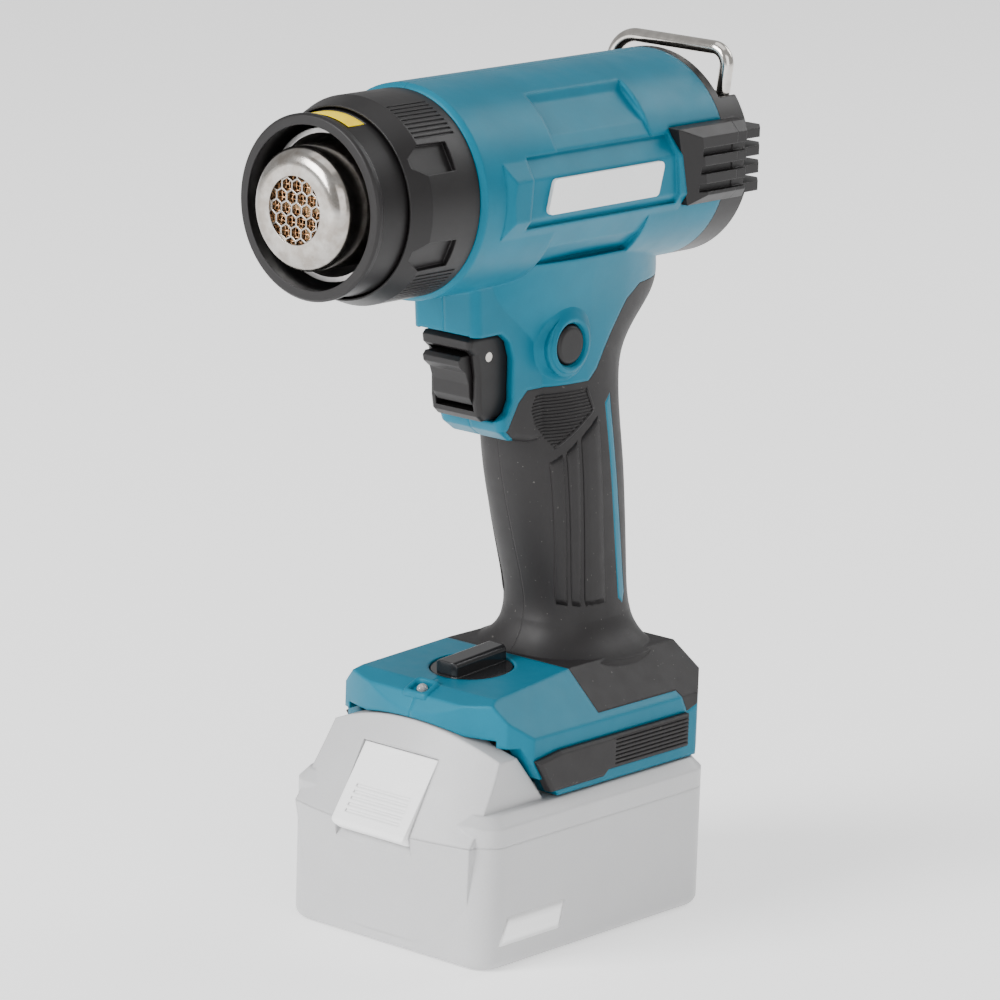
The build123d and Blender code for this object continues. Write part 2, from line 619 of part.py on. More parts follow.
COLLAR_FRONT = -76.8
COLLAR_PHASE = 3.0          # angle of the finger pockets' middle above the X axis
POCKET_R = 26.7             # radius of the pockets' flat floors
with BuildPart() as lock_ring:
    turned([(COLLAR_FRONT, 25.6), (COLLAR_FRONT, 26.1), (-70.6, COLLAR_R), (-51.8, COLLAR_R), (-51.8, 23.1),
            (-54.6, 23.1), (-54.6, 25.6)])
    for base in (COLLAR_PHASE, COLLAR_PHASE + 180):
        for offset in (-27.5, 27.5):
            angle = radians(base + offset)
            outward = (cos(angle), 0, sin(angle))
            floor = (POCKET_R * cos(angle), 0, AXIS_Z + POCKET_R * sin(angle))
            root = Plane(origin=floor, x_dir=(0, 1, 0), z_dir=outward)
            notch = outline(root, [(-59.6, -4.1), (-59.6, 4.1), (-70.6, 4.4), (-74.6, 1.4), (-74.6, -1.4),
                                   (-70.6, -4.4)])
            extrude(notch, amount=4, mode=Mode.SUBTRACT)
    for base in (COLLAR_PHASE, COLLAR_PHASE + 180):
        for middle in (-53, 53):
            for i in range(9):
                angle = radians(base + middle + (i - 4) * 3.1)
                root = Plane(origin=(COLLAR_R * cos(angle), -62.4, AXIS_Z + COLLAR_R * sin(angle)),
                             x_dir=(0, 1, 0), z_dir=(cos(angle), 0, sin(angle)))
                with Locations(root):
                    Box(15.5, 0.6, 0.8, mode=Mode.SUBTRACT)
save(lock_ring, "lock_ring")


# ---------------------------------------------------------------- motor and fan
with BuildPart() as motor:
    turned([(2, 0), (2, 14), (36, 14), (36, 0)])
    turned([(-1, 0), (-1, 4), (39, 4), (39, 0)])
    turned([(-5, 0), (-5, 1.56), (45, 1.56), (45, 0)], mode=Mode.SUBTRACT)
    for side in (-1, 1):
        block((side * 12.6, 5, AXIS_Z - 15), (side * 20, 33, AXIS_Z + 15),
              mode=Mode.SUBTRACT)
save(motor, "motor")

with BuildPart() as motor_mount:
    turned([(30, 14), (30, BARREL_BORE_R), (33.5, BARREL_BORE_R), (33.5, 14)])
    with Locations(Plane(origin=(0, 32, AXIS_Z), z_dir=(0, 1, 0))):
        with PolarLocations(19.4, 8, start_angle=22.5):
            Cylinder(3.6, 10, mode=Mode.SUBTRACT)
    for y, z in SCREW_SPOTS[:2]:
        disc((-20, y, z), (1, 0, 0), 4.1, 40, mode=Mode.SUBTRACT)
save(motor_mount, "motor_mount")

with BuildPart() as motor_shaft:
    turned([(-3, 0), (-3, 1.5), (49, 1.5), (49, 0)])
save(motor_shaft, "motor_shaft")

with BuildPart() as fan_impeller:
    turned([(40.2, 1.5), (40.2, 22), (41.2, 22), (41.2, 5), (49, 5), (49, 1.5)])
    with Locations(Plane(origin=(0, 45, AXIS_Z), z_dir=(0, 1, 0))):
        with PolarLocations(14.2, 13):
            Box(15, 1.0, 8, rotation=(0, 0, 28))
    turned([(39, 22.4), (39, 40), (60, 40), (60, 22.4)], mode=Mode.SUBTRACT)
save(fan_impeller, "fan_impeller")

with BuildPart() as fan_shroud:
    turned([(38.5, 23.2), (38.5, BARREL_BORE_R), (51.0, BARREL_BORE_R), (51.0, 19), (49.8, 19), (49.8, 23.2)])
save(fan_shroud, "fan_shroud")


# ---------------------------------------------------------------- trigger group
PIVOT_Y = -23.8
PIVOT_Z = 164.8
TRIGGER_BACK = -8.8
SPRING_Z = 154              # height of the return spring that pushes on the trigger's back
LEVER_HALF = 6.6            # half width of the lock-off lever inside the trigger
with BuildPart() as trigger:
    slab([(-31, 171.1), (-32.2, 169.9), (-31.8, 167.6), (-29.4, 165.6), (-28.0, 160), (-27.6, 152),
          (-26.8, 148.2), (-25, 146.6), (TRIGGER_BACK, 146.6), (TRIGGER_BACK, 171.1)],
         -TRIGGER_HALF, TRIGGER_HALF)
    front_edges = trigger.faces().sort_by(Axis.X)[-1].edges() + trigger.faces().sort_by(Axis.X)[0].edges()
    fillet(front_edges.filter_by(lambda e: e.center().Y < -12), 1.5)
    slab([(-60, 149.6), (-60, 167.0), (-18.6, 167.0), (-16.0, 160), (-16.0, 149.6)],
         -LEVER_HALF - GAP, LEVER_HALF + GAP, mode=Mode.SUBTRACT)
    disc((-20, PIVOT_Y, PIVOT_Z), (1, 0, 0), 1.4, 40, mode=Mode.SUBTRACT)
    rod((0, TRIGGER_BACK, SPRING_Z), (0, -1.5, SPRING_Z), 2.5)
save(trigger, "trigger")

with BuildPart() as trigger_pin:
    disc((-9.0, PIVOT_Y, PIVOT_Z), (1, 0, 0), 1.4, 18.0)
save(trigger_pin, "trigger_pin")

with BuildPart() as trigger_spring:
    spring_front = TRIGGER_BACK + GAP
    disc((0, spring_front, SPRING_Z), (0, 1, 0), 4.4, 0.5 - spring_front)
    disc((0, spring_front - 1, SPRING_Z), (0, 1, 0), 3.2, 12, mode=Mode.SUBTRACT)
save(trigger_spring, "trigger_spring")

with BuildPart() as lock_off_lever:
    slab([(-32.6, 165.6), (-33.6, 164.4), (-33.2, 162.8), (-30.6, 160.8), (-29.2, 157.4), (-28.8, 153.6),
          (-27, 151.2), (-24, 150.8), (-21.6, 152.4), (-20.6, 156), (-20.8, 162), (-22, 165.6)],
         -LEVER_HALF, LEVER_HALF)
    fillet(lock_off_lever.edges().filter_by(Axis.X).filter_by(lambda e: e.center().Z < 163), 0.8)
    disc((-20, PIVOT_Y, PIVOT_Z), (1, 0, 0), 1.45, 40, mode=Mode.SUBTRACT)
save(lock_off_lever, "lock_off_lever")

with BuildPart() as switch_unit:
    block((-8.2, 0.5, 146.5), (8.2, 21, 159.8))
    disc((0, 0, SPRING_Z), (0, 1, 0), 2.8, 8, mode=Mode.SUBTRACT)
    block((-6, 21, 148), (6, 23, 159))
    block((2.0, -2.6, 159), (3.4, 8, 170.8))
    disc((0, *LOCK_BUTTON_SPOT), (1, 0, 0), 2.7, 8, mode=Mode.SUBTRACT)
save(switch_unit, "switch_unit")

with BuildPart() as lock_on_button:
    disc((10.4, *LOCK_BUTTON_SPOT), (1, 0, 0), LOCK_BUTTON_R, 6.2)
    fillet(lock_on_button.faces().sort_by(Axis.X)[-1].edges(), 1.4)
    disc((1.5, *LOCK_BUTTON_SPOT), (1, 0, 0), 2.4, 9)
save(lock_on_button, "lock_on_button")

with BuildPart() as lock_on_spring:
    disc((3.4, *LOCK_BUTTON_SPOT), (1, 0, 0), 4.0, 7.0)
    disc((3.0, *LOCK_BUTTON_SPOT), (1, 0, 0), 2.9, 8.0, mode=Mode.SUBTRACT)
save(lock_on_spring, "lock_on_spring")


# ---------------------------------------------------------------- temperature dial, lamp and board
with BuildPart() as temp_dial:
    with BuildSketch(DIAL_PLANE.offset(-2.2)):
        Circle(DIAL_POCKET_R - 0.5)
    extrude(amount=2.0)
    with BuildSketch(DIAL_PLANE.offset(-0.2)):
        Rectangle(7.6, 21.6)
        Circle(DIAL_POCKET_R - 1.0, mode=Mode.INTERSECT)
    extrude(amount=4.4)
    fillet(temp_dial.faces().sort_by(Axis.Z)[-1].edges().filter_by(lambda e: e.length > 12), 1.5)
    with BuildSketch(DIAL_PLANE.offset(-6.0)):
        Circle(2.5)
    extrude(amount=4.0)
save(temp_dial, "temp_dial")

with BuildPart() as dial_potentiometer:
    with BuildSketch(DIAL_PLANE.offset(-7.85)):
        Circle(6.5)
    extrude(amount=3.05)
    with BuildSketch(DIAL_PLANE.offset(-7.0)):
        Circle(2.56)
    extrude(amount=5, mode=Mode.SUBTRACT)
save(dial_potentiometer, "dial_potentiometer")

with BuildPart() as control_board:
    block((-16, -26.6, 64.5), (16, 6, 65.6))
    for x, y, w, d, h in ((-10, -2, 8, 7, 4), (9, -1, 6, 6, 5), (-11, -21, 5, 5, 2.4), (11, -21, 5, 7, 2.0)):
        block((x - w / 2, y - d / 2, 65.6), (x + w / 2, y + d / 2, 65.6 + h))
save(control_board, "control_board")

with BuildPart() as led_lens:
    disc(LAMP_SPOT, LAMP_UP, 1.6, 1.7)
    with Locations((0, -36.98, 71.27)):
        Sphere(1.6)
save(led_lens, "led_lens")


# ---------------------------------------------------------------- terminals, wires and screws
with BuildPart() as terminal_block:
    block((-15, 14, 54.0), (15, 34, BASE_ROOF))
save(terminal_block, "terminal_block")

TERMINAL_X = (-10, -3.5, 3.5, 10)
with BuildPart() as terminal_blades:
    for x in TERMINAL_X:
        block((x - 0.4, 3, 55.0), (x + 0.4, 14, 60.0))
save(terminal_blades, "terminal_blades")

with BuildPart() as handle_wires:
    for x in (-4, 0, 4):
        rod((x, 20, 66), (x, 22, 92), 1.2)
        rod((x, 22, 92), (x, 12, 146.1), 1.2)
save(handle_wires, "handle_wires")

with BuildPart() as housing_screws:
    for y, z in SCREW_SPOTS:
        disc((-8, y, z), (1, 0, 0), SCREW_R, 17)
        disc((-8, y, z), (-1, 0, 0), SCREW_HEAD_R, 2.2)
        block((-10.6, y - 1.8, z - 0.4), (-9.2, y + 1.8, z + 0.4), mode=Mode.SUBTRACT)
        block((-10.6, y - 0.4, z - 1.8), (-9.2, y + 0.4, z + 1.8), mode=Mode.SUBTRACT)
save(housing_screws, "housing_screws")


# ---------------------------------------------------------------- battery pack
BATTERY_WALL = 2.2
LATCH_MIDDLE = (0, -51.75, 44.85)       # middle of the release button's outer face
LATCH_NORMAL = (0, -0.823, 0.566)
LATCH_WIDE = 27.0
LATCH_LONG = 24.9
RAIL_HALF = 26.9
# Section of the bowed front where the two halves of the case meet.
SEAM_BOW = (BATTERY_SEAM, 32.5, -52.5, -57.3)


def rounded_plan(z, half, front, rear, radius):
    """Rectangle with rounded corners on the plane at height z."""
    with BuildSketch(Plane.XY.offset(z)) as plan:
        with Locations((0, (front + rear) / 2)):
            RectangleRounded(2 * half, rear - front, radius)
    return plan.sketch


def tower_section(z, half, side_front, front):
    """Bowed front of the latch tower at height z."""
    with BuildSketch(Plane.XY.offset(z)) as plan:
        with BuildLine():
            bow = ThreePointArc((-half, side_front), (0, front), (half, side_front))
            Polyline([bow @ 1, (half, -10), (-half, -10), bow @ 0])
        make_face()
    return plan.sketch


def latch_plane():
    """Plane on the latch button's outer face, local Y running up the slope."""
    return Plane(origin=LATCH_MIDDLE, x_dir=(1, 0, 0), z_dir=LATCH_NORMAL)


with BuildPart() as battery_tower:
    loft([tower_section(*SEAM_BOW), tower_section(50, 31.5, -42.5, -49.5),
          tower_section(66, 29.0, -34.6, -40.4)])
    with BuildSketch(Plane.XZ) as tower_arch:
        with BuildLine():
            tower_crown = ThreePointArc((-30.5, 56.9), (0, 63.6), (30.5, 56.9))
            Polyline([tower_crown @ 1, (60, 54), (60, 30), (-60, 30), (-60, 54), tower_crown @ 0])
        make_face()
    extrude(tower_arch.sketch, amount=60, mode=Mode.INTERSECT)
    slab([(-22.0, 30), (-22.0, 44), (-33.6, 59.4), (-33.6, 80), (-80, 80), (-80, 30)], -50, 50,
         mode=Mode.INTERSECT)

# Room for the release button, its stem and the few millimetres that it slides down.
with BuildPart() as latch_room:
    with Locations(latch_plane()):
        with Locations((0, -2.3, 2.3)):
            Box(LATCH_WIDE + 0.8, LATCH_LONG + 5.0, 15.4)
        with Locations((0, 5.5, -8)):
            Box(8.8, 8.8, 8)
        with Locations((0, 6.5, -10.4)):
            Box(36, 10, 4)

with BuildPart() as battery_case_upper:
    extrude(rounded_plan(BATTERY_SEAM, BATTERY_HALF, BATTERY_FRONT, BATTERY_REAR, 8), amount=8.3)
    chamfer(battery_case_upper.faces().sort_by(Axis.Z)[-1].edges(), 3.0)
    add(battery_tower.part)
    extrude(rounded_plan(30, BATTERY_HALF - BATTERY_WALL, BATTERY_FRONT + BATTERY_WALL,
                         BATTERY_REAR - BATTERY_WALL, 4), amount=11.0, mode=Mode.SUBTRACT)
    block((-RAIL_HALF, -20, 42), (RAIL_HALF, 34.5, 61.4))
    for side in (-1, 1):
        block((side * 24.7, -20.1, 46.8), (side * 40, 60, 50.7),
              mode=Mode.SUBTRACT)
    block((-22.5, -16, 30), (22.5, 8, 59.2), mode=Mode.SUBTRACT)
    block((-22.5, -16, 30), (22.5, 32, 49.8), mode=Mode.SUBTRACT)
    block((-16, 10, 52), (16, 60, 70), mode=Mode.SUBTRACT)
    for x in TERMINAL_X:
        block((x - 0.8, 2.2, 54.2), (x + 0.8, 12, 70), mode=Mode.SUBTRACT)
    add(latch_room.part, mode=Mode.SUBTRACT)
save(battery_case_upper, "battery_case_upper")

with BuildPart() as battery_case_lower:
    extrude(rounded_plan(0, BATTERY_HALF, BATTERY_FRONT, BATTERY_REAR, 8), amount=BATTERY_SEAM)
    fillet(battery_case_lower.faces().sort_by(Axis.Z)[0].edges(), 3.0)
    loft([tower_section(4.0, 29.0, -49, -51.2), tower_section(*SEAM_BOW)])
    extrude(rounded_plan(2.2, BATTERY_HALF - BATTERY_WALL, BATTERY_FRONT + BATTERY_WALL,
                         BATTERY_REAR - BATTERY_WALL, 4), amount=60, mode=Mode.SUBTRACT)
    add(latch_room.part, mode=Mode.SUBTRACT)
save(battery_case_lower, "battery_case_lower")

with BuildPart() as battery_latch:
    with Locations(latch_plane()):
        with Locations((0, 0, -2.4)):
            Box(LATCH_WIDE, LATCH_LONG, 4.8)
    fillet(battery_latch.faces().sort_by(Axis.Y)[0].edges(), 1.6)
    with Locations(latch_plane()):
        with Locations((0, 7.5, -7.6)):
            Box(8, 4, 6.4)
        with Locations((0, 8.5, -10.4)):
            Box(30, 4, 2.4)
        for i in range(5):
            with Locations((0, -8 + 1.9 * i, 0)):
                Box(LATCH_WIDE - 7, 0.8, 0.8, mode=Mode.SUBTRACT)
save(battery_latch, "battery_latch")

CELL_R = 9.0
CELL_SPOTS = [(-2.1 + 18.4 * (i - 2), z) for i in range(5) for z in (12.2, 30.7)]

with BuildPart() as battery_cells:
    for y, z in CELL_SPOTS:
        disc((-32.5, y, z), (1, 0, 0), CELL_R, 65)
        disc((32.5, y, z), (1, 0, 0), 2.8, 0.8)
save(battery_cells, "battery_cells")

with BuildPart() as cell_holder:
    for side in (-1, 1):
        block((side * 27, -48, 2.6), (side * 30, 43.8, 40.6))
    for y in (-12, 27):
        block((-30, y - 1, 40.0), (30, y + 1, 40.8))
        for side in (-1, 1):
            block((side * 19 - 1, y - 1, 40.0), (side * 19 + 1, y + 1, 42.0))
    for y, z in CELL_SPOTS:
        disc((-40, y, z), (1, 0, 0), CELL_R + 0.05, 80, mode=Mode.SUBTRACT)
save(cell_holder, "cell_holder")

with BuildPart() as battery_board:
    block((-21, -15, 42.0), (21, 31, 43.6))
    for x, y, w, d, h in ((-15, 20, 9, 9, 3), (4, 22, 12, 8, 2.4), (15, 20, 5, 10, 4)):
        block((x - w / 2, y - d / 2, 43.6), (x + w / 2, y + d / 2, 43.6 + h))
save(battery_board, "battery_board")

with BuildPart() as battery_contacts:
    for x in TERMINAL_X:
        block((x - 1.6, -6, 43.6), (x + 1.6, -3, 46))
        for side in (-1, 1):
            block((x + side * 1.0 - 0.3, -5, 44), (x + side * 1.0 + 0.3, 5, 58.6))
save(battery_contacts, "battery_contacts")
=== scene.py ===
"""Looks of the cordless heat gun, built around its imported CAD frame. Everything is in metres."""

import math

import bmesh
import bpy
from mathutils import Matrix, Vector
from mathutils.bvhtree import BVHTree


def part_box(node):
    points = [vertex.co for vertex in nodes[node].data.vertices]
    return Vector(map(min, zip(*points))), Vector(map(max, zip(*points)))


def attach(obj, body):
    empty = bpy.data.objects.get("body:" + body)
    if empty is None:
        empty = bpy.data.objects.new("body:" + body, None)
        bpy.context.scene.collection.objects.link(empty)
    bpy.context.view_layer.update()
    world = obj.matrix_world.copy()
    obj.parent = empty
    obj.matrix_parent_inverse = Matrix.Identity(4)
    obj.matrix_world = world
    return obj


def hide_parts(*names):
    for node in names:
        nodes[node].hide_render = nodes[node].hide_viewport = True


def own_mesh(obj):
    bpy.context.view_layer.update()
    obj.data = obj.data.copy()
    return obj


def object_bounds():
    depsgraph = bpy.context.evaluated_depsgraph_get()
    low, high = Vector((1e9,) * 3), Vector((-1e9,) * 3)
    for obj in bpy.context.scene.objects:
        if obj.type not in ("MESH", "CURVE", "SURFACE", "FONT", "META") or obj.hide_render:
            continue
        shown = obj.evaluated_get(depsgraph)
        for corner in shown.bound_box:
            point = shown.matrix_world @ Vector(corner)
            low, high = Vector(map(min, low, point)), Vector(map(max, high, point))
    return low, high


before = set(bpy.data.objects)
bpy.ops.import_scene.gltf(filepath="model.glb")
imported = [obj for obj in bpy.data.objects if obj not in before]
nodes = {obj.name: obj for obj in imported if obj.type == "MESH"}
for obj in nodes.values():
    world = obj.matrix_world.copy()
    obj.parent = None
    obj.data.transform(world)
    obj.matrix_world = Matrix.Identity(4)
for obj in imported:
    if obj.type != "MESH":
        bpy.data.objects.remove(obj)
cad_low, cad_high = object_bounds()
MM = 0.001

# Driving places, all read from the frame.
nozzle_low, nozzle_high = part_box("nozzle")
AXIS_Z = (nozzle_low.z + nozzle_high.z) / 2


# ------------------------------------------------------------------ material helpers
# Sockets of the Mix node that carry colours. Several share one name, so they are asked for by number.
MIX_A, MIX_B, MIX_COLOUR = 6, 7, 2
# How far the rounded normal has left the true one, as 1 - cosine, where the painted edge highlight starts and
# where it is full.
HIGHLIGHT_START, HIGHLIGHT_FULL = 0.01, 0.25
EDGE_SAMPLES = 6
PLASTIC_SPECULAR, METAL_SPECULAR = 0.36, 0.5
DUST_SPACING = 0.9 * MM
DUST_COLOUR = (0.07, 0.066, 0.062)
# Only the peaks of the dust's noise show, from the first value up.
DUST_START, DUST_FULL = 0.75, 0.775


class Paint:
    """One node material, with short methods for the nodes that the finishes share."""

    def __init__(self, name, colour, roughness, metallic=0.0):
        self.mat = bpy.data.materials.new(name)
        self.mat.use_nodes = True
        self.tree = self.mat.node_tree
        self.shader = self.tree.nodes["Principled BSDF"]
        self.shader.inputs["Base Color"].default_value = (*colour, 1)
        self.shader.inputs["Roughness"].default_value = roughness
        self.shader.inputs["Metallic"].default_value = metallic
        specular = METAL_SPECULAR if metallic else PLASTIC_SPECULAR
        self.shader.inputs["Specular IOR Level"].default_value = specular
        self.coords = self.tree.nodes.new("ShaderNodeTexCoord")
        self.last_normal = None

    def node(self, kind, **inputs):
        """New node with some of its inputs set. An underscore in a keyword stands for a space."""
        made = self.tree.nodes.new(kind)
        for key, value in inputs.items():
            made.inputs[key.replace("_", " ")].default_value = value
        return made

    def link(self, source, target):
        self.tree.links.new(source, target)

    def noise(self, size, detail=3.0, stretch=(1, 1, 1)):
        """Noise whose features are about size metres across; stretch scales each axis."""
        mapping = self.tree.nodes.new("ShaderNodeMapping")
        mapping.inputs["Scale"].default_value = [s / size for s in stretch]
        self.link(self.coords.outputs["Object"], mapping.inputs["Vector"])
        made = self.node("ShaderNodeTexNoise", Scale=1.0, Detail=detail, Roughness=0.55)
        self.link(mapping.outputs["Vector"], made.inputs["Vector"])
        return made.outputs["Fac"]

    def ramp(self, value, low, high, dark, light):
        """Colour or grey that goes from dark to light as value goes from low to high."""
        made = self.tree.nodes.new("ShaderNodeValToRGB")
        made.color_ramp.elements[0].position = low
        made.color_ramp.elements[1].position = high
        made.color_ramp.elements[0].color = (*dark, 1)
        made.color_ramp.elements[1].color = (*light, 1)
        self.link(value, made.inputs["Fac"])
        return made.outputs["Color"]

    def span(self, value, low, high):
        """Value from 0..1 spread over low..high."""
        made = self.node("ShaderNodeMapRange", To_Min=low, To_Max=high)
        self.link(value, made.inputs["Value"])
        return made.outputs["Result"]

    def bump(self, height, distance):
        """Adds a bump that is distance metres high on top of the bumps so far."""
        made = self.node("ShaderNodeBump", Strength=1.0, Distance=distance)
        self.link(height, made.inputs["Height"])
        if self.last_normal:
            self.link(self.last_normal, made.inputs["Normal"])
        self.last_normal = made.outputs["Normal"]
        self.link(self.last_normal, self.shader.inputs["Normal"])

    def soft_edges(self, radius):
        """Rounds the shading of hard edges, as a moulded edge radius does."""
        made = self.node("ShaderNodeBevel", Radius=radius)
        made.samples = EDGE_SAMPLES
        self.last_normal = made.outputs["Normal"]
        self.link(self.last_normal, self.shader.inputs["Normal"])

    def edge_mask(self, radius):
        """1 near edges and 0 on open faces, from how far a rounded normal leaves the true one."""
        rounded = self.node("ShaderNodeBevel", Radius=radius)
        rounded.samples = EDGE_SAMPLES
        geometry = self.tree.nodes.new("ShaderNodeNewGeometry")
        dot = self.tree.nodes.new("ShaderNodeVectorMath")
        dot.operation = "DOT_PRODUCT"
        self.link(rounded.outputs["Normal"], dot.inputs[0])
        self.link(geometry.outputs["Normal"], dot.inputs[1])
        made = self.node("ShaderNodeMapRange", From_Min=1.0 - HIGHLIGHT_START, From_Max=1.0 - HIGHLIGHT_FULL)
        self.link(dot.outputs["Value"], made.inputs["Value"])
        return made.outputs["Result"]

    def mix(self, factor, a, b):
        """Colour a where factor is 0 and colour b where it is 1. Each is a socket or a plain value."""
        made = self.tree.nodes.new("ShaderNodeMix")
        made.data_type = "RGBA"
        if isinstance(factor, float):
            made.inputs["Factor"].default_value = factor
        else:
            self.link(factor, made.inputs["Factor"])
        for socket, value in ((made.inputs[MIX_A], a), (made.inputs[MIX_B], b)):
            if isinstance(value, tuple):
                socket.default_value = (*value, 1)
            else:
                self.link(value, socket)
        return made.outputs[MIX_COLOUR]

    def dust(self):
        """Sparse pale specks of dust over the colour so far."""
        under = self.shader.inputs["Base Color"].links[0].from_socket
        peaks = self.noise(DUST_SPACING, detail=1.0)
        specks = self.ramp(peaks, DUST_START, DUST_FULL, (0, 0, 0), (1, 1, 1))
        self.colour(self.mix(specks, under, DUST_COLOUR))

    def colour(self, source):
        self.link(source, self.shader.inputs["Base Color"])

    def rough(self, source):
        self.link(source, self.shader.inputs["Roughness"])


# Moulded faces are faintly wavy and mottled, besides their fine grain.
WAVE_SIZE, WAVE_HEIGHT = 9 * MM, 0.02 * MM
MOTTLE_SIZE = 14 * MM
GLOSS_PATCH_SIZE, GLOSS_SPREAD = 5 * MM, 0.07
GRAIN_CONTRAST = 0.07


def shade(colour, factor):
    """Colour made darker or lighter, without passing white."""
    return tuple(min(1.0, c * factor) for c in colour)


def moulded(name, colour, roughness, grain=0.30 * MM, grain_height=0.010 * MM, edge=0.5 * MM, edge_highlight=0.5,
            mottled=0.10):
    """Moulded plastic or elastomer: spark-eroded grain, faint mottling, rounded edges with a painted
    highlight along them.
    """
    p = Paint(name, colour, roughness)
    p.soft_edges(edge)
    fine = p.noise(grain, detail=2.0)
    p.bump(fine, grain_height)
    p.bump(p.noise(WAVE_SIZE, detail=2.0), WAVE_HEIGHT)
    base = p.ramp(p.noise(MOTTLE_SIZE, detail=4.0), 0.35, 0.65, shade(colour, 1 - mottled),
                  shade(colour, 1 + mottled))
    speck = p.ramp(fine, 0.30, 0.70, shade(colour, 1 - GRAIN_CONTRAST), shade(colour, 1 + GRAIN_CONTRAST))
    open_face = p.mix(0.5, base, speck)
    # Painted highlight: the colour is made lighter along every edge, as if the edges caught the light.
    highlit_edge = tuple(min(1.0, c * (1 + edge_highlight) + 0.01 * edge_highlight) for c in colour)
    p.colour(p.mix(p.edge_mask(edge), open_face, highlit_edge))
    gloss_patches = p.noise(GLOSS_PATCH_SIZE, detail=4.0)
    p.rough(p.span(gloss_patches, roughness - GLOSS_SPREAD, roughness + GLOSS_SPREAD))
    return p


METAL_EDGE = 0.3 * MM
SCRATCH_HEIGHT = 0.004 * MM
POLISH_PATCH_SIZE, STAIN_SIZE = 6 * MM, 4 * MM
SMOOTHEST = 0.02


def metal(name, colour, roughness, spread=0.12, scratch=(1, 1, 1), scratch_size=0.5 * MM, stain=None):
    """Bare metal: fine directional scratches, uneven polish and, if asked, a heat or handling stain."""
    p = Paint(name, colour, roughness, metallic=1.0)
    p.soft_edges(METAL_EDGE)
    p.bump(p.noise(scratch_size, detail=4.0, stretch=scratch), SCRATCH_HEIGHT)
    polish = p.noise(POLISH_PATCH_SIZE, detail=6.0)
    p.rough(p.span(polish, max(SMOOTHEST, roughness - spread), roughness + spread))
    p.colour(p.ramp(p.noise(STAIN_SIZE, detail=5.0), 0.38, 0.62, stain or shade(colour, 0.8), colour))
    return p


def dress(paint, *names):
    """Gives CAD nodes or new pieces this material."""
    for name in names:
        piece = nodes.get(name) or bpy.data.objects[name]
        piece.data.materials.clear()
        piece.data.materials.append(paint.mat)


# ------------------------------------------------------------------ materials
# Linear base colours. The teal's reflections are tinted too, which keeps it deep under white light.
teal = moulded("teal_housing", (0.0004, 0.120, 0.190), 0.40, edge=1.5 * MM, edge_highlight=0.35)
teal.shader.inputs["Specular Tint"].default_value = (0.40, 0.85, 1.0, 1)
rubber = moulded("soft_grip", (0.011, 0.0095, 0.0098), 0.55, grain=0.22 * MM, grain_height=0.016 * MM,
                 edge=0.7 * MM, edge_highlight=0.35)
rubber.dust()
black = moulded("black_nylon", (0.0065, 0.0055, 0.0058), 0.42, grain=0.35 * MM, edge=0.5 * MM, edge_highlight=0.7)
gloss = moulded("gloss_black", (0.012, 0.012, 0.013), 0.14, grain=1.5 * MM, grain_height=0.002 * MM,
                edge=0.6 * MM, edge_highlight=0.4)
white_print = moulded("white_print", (0.86, 0.87, 0.87), 0.30, grain=0.5 * MM, grain_height=0.003 * MM,
                      edge=0.25 * MM, edge_highlight=0.0, mottled=0.02)
pale_case = moulded("pale_case", (0.50, 0.50, 0.505), 0.34, grain=0.35 * MM, grain_height=0.006 * MM,
                    edge=1.2 * MM, edge_highlight=0.10, mottled=0.03)
latch_white = moulded("latch_white", (0.95, 0.95, 0.95), 0.38, grain=0.4 * MM, grain_height=0.005 * MM,
                      edge=0.7 * MM, edge_highlight=0.0, mottled=0.02)
board_green = moulded("board_green", (0.02, 0.16, 0.07), 0.35, grain=0.8 * MM, mottled=0.2)
cell_wrap = moulded("cell_wrap", (0.03, 0.14, 0.09), 0.30, grain=0.8 * MM, mottled=0.15)
wire_red = moulded("wire_red", (0.42, 0.02, 0.02), 0.45, mottled=0.08)
mica = moulded("mica_board", (0.52, 0.38, 0.20), 0.55, grain=0.9 * MM, grain_height=0.03 * MM, mottled=0.30)

chrome = metal("chrome_wire", (0.62, 0.59, 0.55), 0.12, spread=0.06, scratch_size=0.4 * MM)
outlet_steel = metal("outlet_steel", (0.44, 0.42, 0.395), 0.19, spread=0.09, scratch=(1, 6, 1),
                     scratch_size=1.2 * MM, stain=(0.32, 0.29, 0.26))
plain_steel = metal("plain_steel", (0.50, 0.49, 0.48), 0.36)
spring_steel = metal("spring_steel", (0.42, 0.42, 0.44), 0.30)
motor_steel = metal("motor_steel", (0.45, 0.46, 0.48), 0.34)
screw_steel = metal("screw_steel", (0.16, 0.16, 0.17), 0.40)
coil_metal = metal("coil_metal", (0.55, 0.34, 0.20), 0.38, stain=(0.30, 0.17, 0.12))
copper = metal("copper", (0.80, 0.46, 0.24), 0.28)


def yellow_label():
    """Plain yellow film, a little uneven in colour and gloss."""
    p = Paint("yellow_label", (0.95, 0.70, 0.0), 0.50)
    p.shader.inputs["Specular IOR Level"].default_value = 0.2
    p.soft_edges(0.15 * MM)
    p.bump(p.noise(0.6 * MM), 0.003 * MM)
    p.colour(p.ramp(p.noise(5 * MM, detail=5.0), 0.30, 0.55, (0.90, 0.62, 0.0), (1.0, 0.74, 0.0)))
    p.rough(p.span(p.noise(3 * MM), 0.38, 0.52))
    return p


def clear_lens():
    """Clear moulded lamp lens."""
    p = Paint("clear_lens", (0.93, 0.94, 0.95), 0.06)
    p.shader.inputs["Transmission Weight"].default_value = 0.75
    p.shader.inputs["IOR"].default_value = 1.49
    p.bump(p.noise(0.5 * MM, detail=1.0), 0.01 * MM)
    p.colour(p.ramp(p.noise(1.2 * MM), 0.4, 0.6, (0.80, 0.82, 0.84), (0.97, 0.97, 0.96)))
    return p


